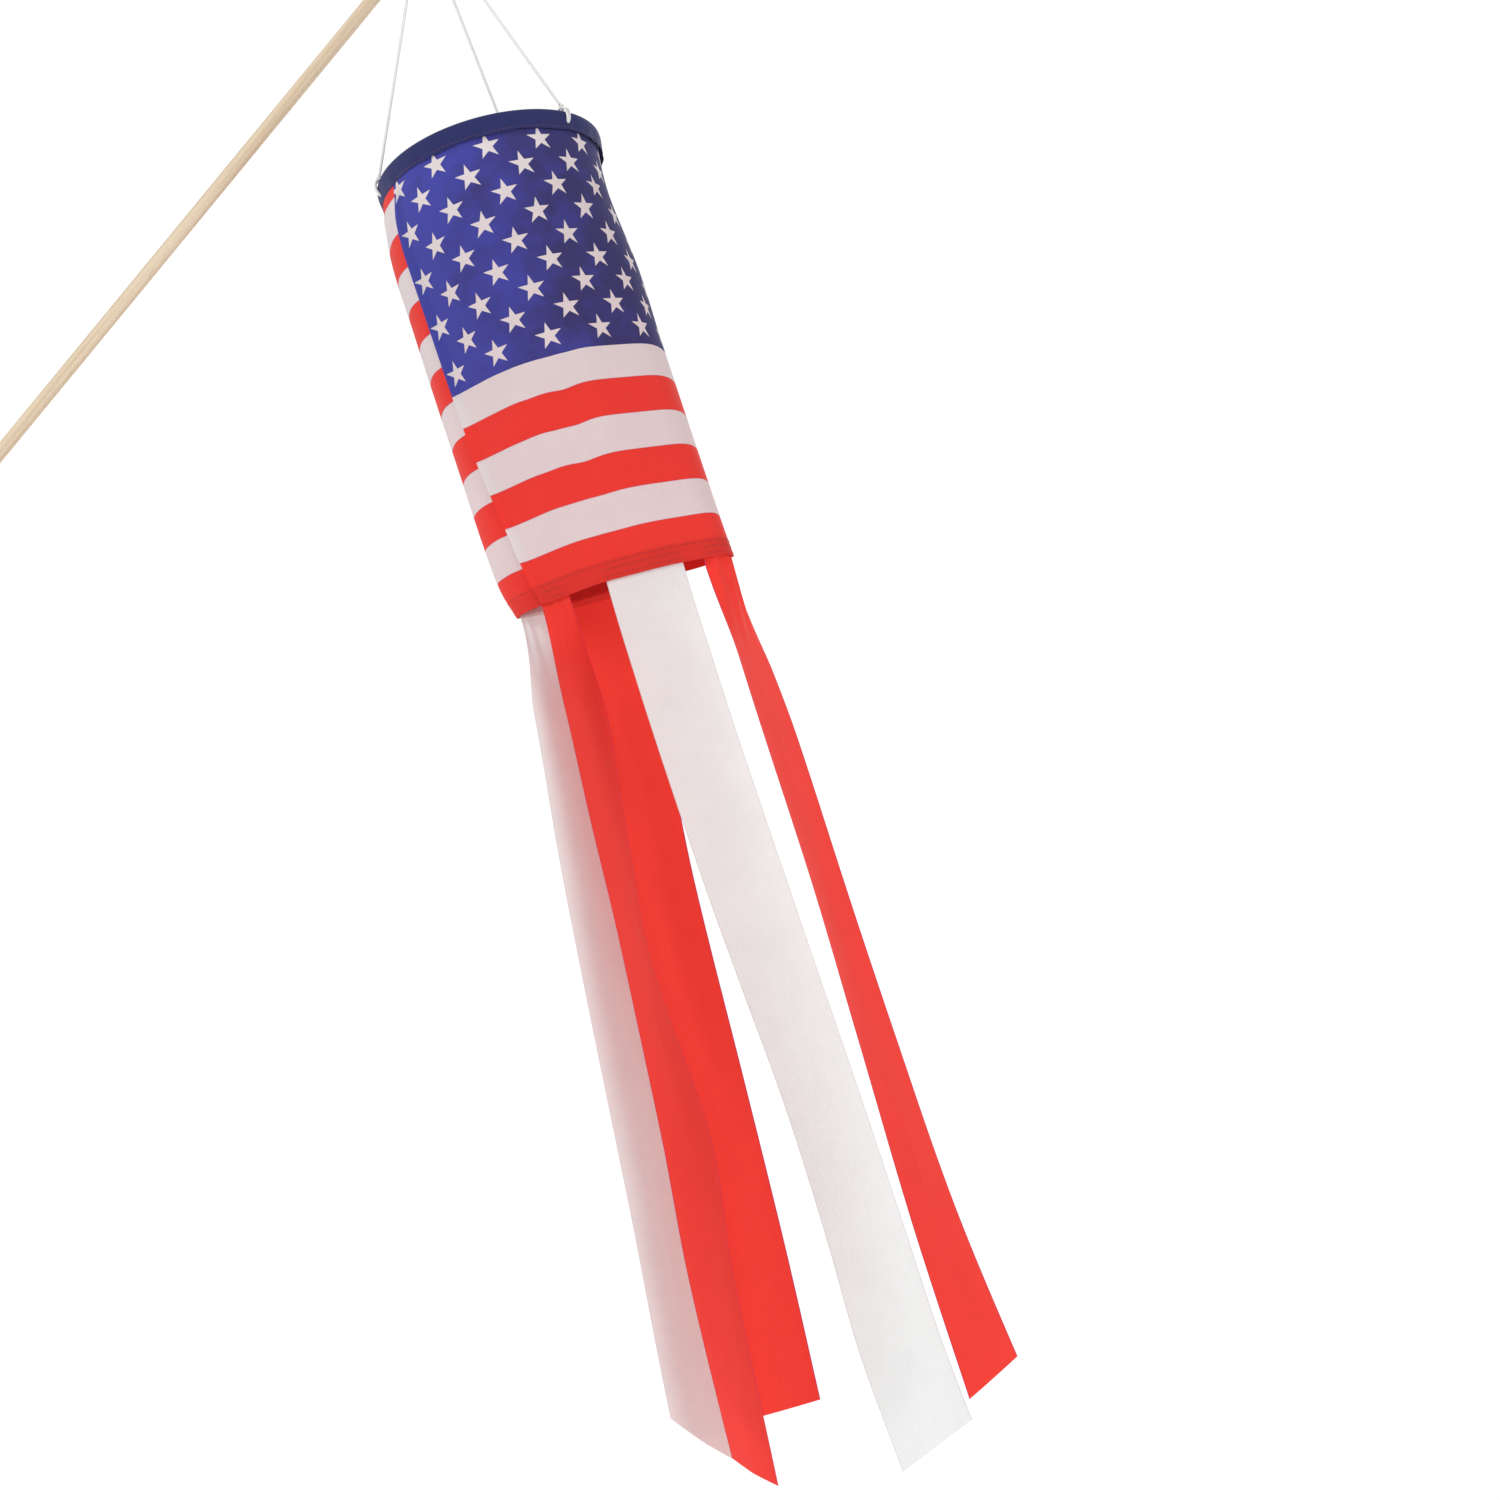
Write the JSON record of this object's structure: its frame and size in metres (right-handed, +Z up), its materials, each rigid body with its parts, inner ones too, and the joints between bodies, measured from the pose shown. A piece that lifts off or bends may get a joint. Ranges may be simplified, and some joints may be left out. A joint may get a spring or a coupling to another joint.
{
  "type": "windsock with pole",
  "caption": "Printed cloth windsock with long hem streamers, hung by a three-cord bridle from the tip of a slanted wooden dowel.",
  "frame": {"origin": "centre of the dowel's square-cut butt end", "axes": "+Z up, the way the sock hangs plumb; the dowel leans towards +X, 37.6 degrees above level, in the XZ plane; -Y faces the viewer"},
  "size_m": [0.8315, 0.1507, 1.0955],
  "materials": {
    "wood": "bare smooth-sanded beech",
    "cord": "braided white cord",
    "hoop_wire": "plain",
    "blue_cloth": "woven polyester",
    "printed_cloth": "woven polyester, printed stripes and stars",
    "red_cloth": "woven polyester",
    "white_cloth": "woven polyester",
    "blue_thread": "sewing thread",
    "red_thread": "sewing thread"
  },
  "bodies": {
    "dowel": {"pole": "wood"},
    "lashing": {"tip_lashing": "cord"},
    "sock": {"bridle_knot": "cord", "bridle_cord_left": "cord", "bridle_cord_front": "cord", "bridle_cord_rear": "cord", "hem_loop_left": "cord", "hem_loop_front": "cord", "hem_loop_rear": "cord", "hoop": "hoop_wire", "hoop_casing": "blue_cloth", "top_hem": "blue_cloth", "sock_tube": "printed_cloth", "lengthwise_seam": "printed_cloth", "bottom_hem": "red_cloth", "top_hem_stitching": "blue_thread", "bottom_hem_stitching": "red_thread", "streamer_tabs": "red_cloth"},
    "streamer_red_front_strip": {"streamer_red_front": "red_cloth"},
    "streamer_white_front_strip": {"streamer_white_front": "white_cloth"},
    "streamer_red_right_strip": {"streamer_red_right": "red_cloth"},
    "streamer_white_rear_strip": {"streamer_white_rear": "white_cloth"},
    "streamer_red_rear_strip": {"streamer_red_rear": "red_cloth"},
    "streamer_white_left_strip": {"streamer_white_left": "white_cloth"}
  },
  "joints": [
    {"name": "lashing_roll", "type": "hinge", "parent": "dowel", "child": "lashing", "pos_m": [0.71496, 0, 0.55059], "axis": [0.7923, 0, 0.6101], "range_deg": [-50, 50]},
    {"name": "bridle_swing", "type": "hinge", "parent": "lashing", "child": "sock", "pos_m": [0.71496, 0, 0.56159], "axis": [0, -1, 0], "range_deg": [-20, 70]},
    {"name": "streamer_red_front_lift", "type": "hinge", "parent": "sock", "child": "streamer_red_front_strip", "pos_m": [0.67896, -0.0288, 0.06799], "axis": [-1, 0, 0], "range_deg": [0, 45]},
    {"name": "streamer_white_front_lift", "type": "hinge", "parent": "sock", "child": "streamer_white_front_strip", "pos_m": [0.73946, -0.0288, 0.06799], "axis": [-1, 0, 0], "range_deg": [0, 45]},
    {"name": "streamer_red_right_lift", "type": "hinge", "parent": "sock", "child": "streamer_red_right_strip", "pos_m": [0.79446, 0, 0.06799], "axis": [0, -1, 0], "range_deg": [0, 45]},
    {"name": "streamer_white_rear_lift", "type": "hinge", "parent": "sock", "child": "streamer_white_rear_strip", "pos_m": [0.74696, 0.0288, 0.06799], "axis": [1, 0, 0], "range_deg": [0, 45]},
    {"name": "streamer_red_rear_lift", "type": "hinge", "parent": "sock", "child": "streamer_red_rear_strip", "pos_m": [0.70396, 0.0288, 0.06799], "axis": [1, 0, 0], "range_deg": [0, 45]},
    {"name": "streamer_white_left_lift", "type": "hinge", "parent": "sock", "child": "streamer_white_left_strip", "pos_m": [0.65246, 0, 0.06799], "axis": [0, 1, 0], "range_deg": [0, 45]}
  ]
}
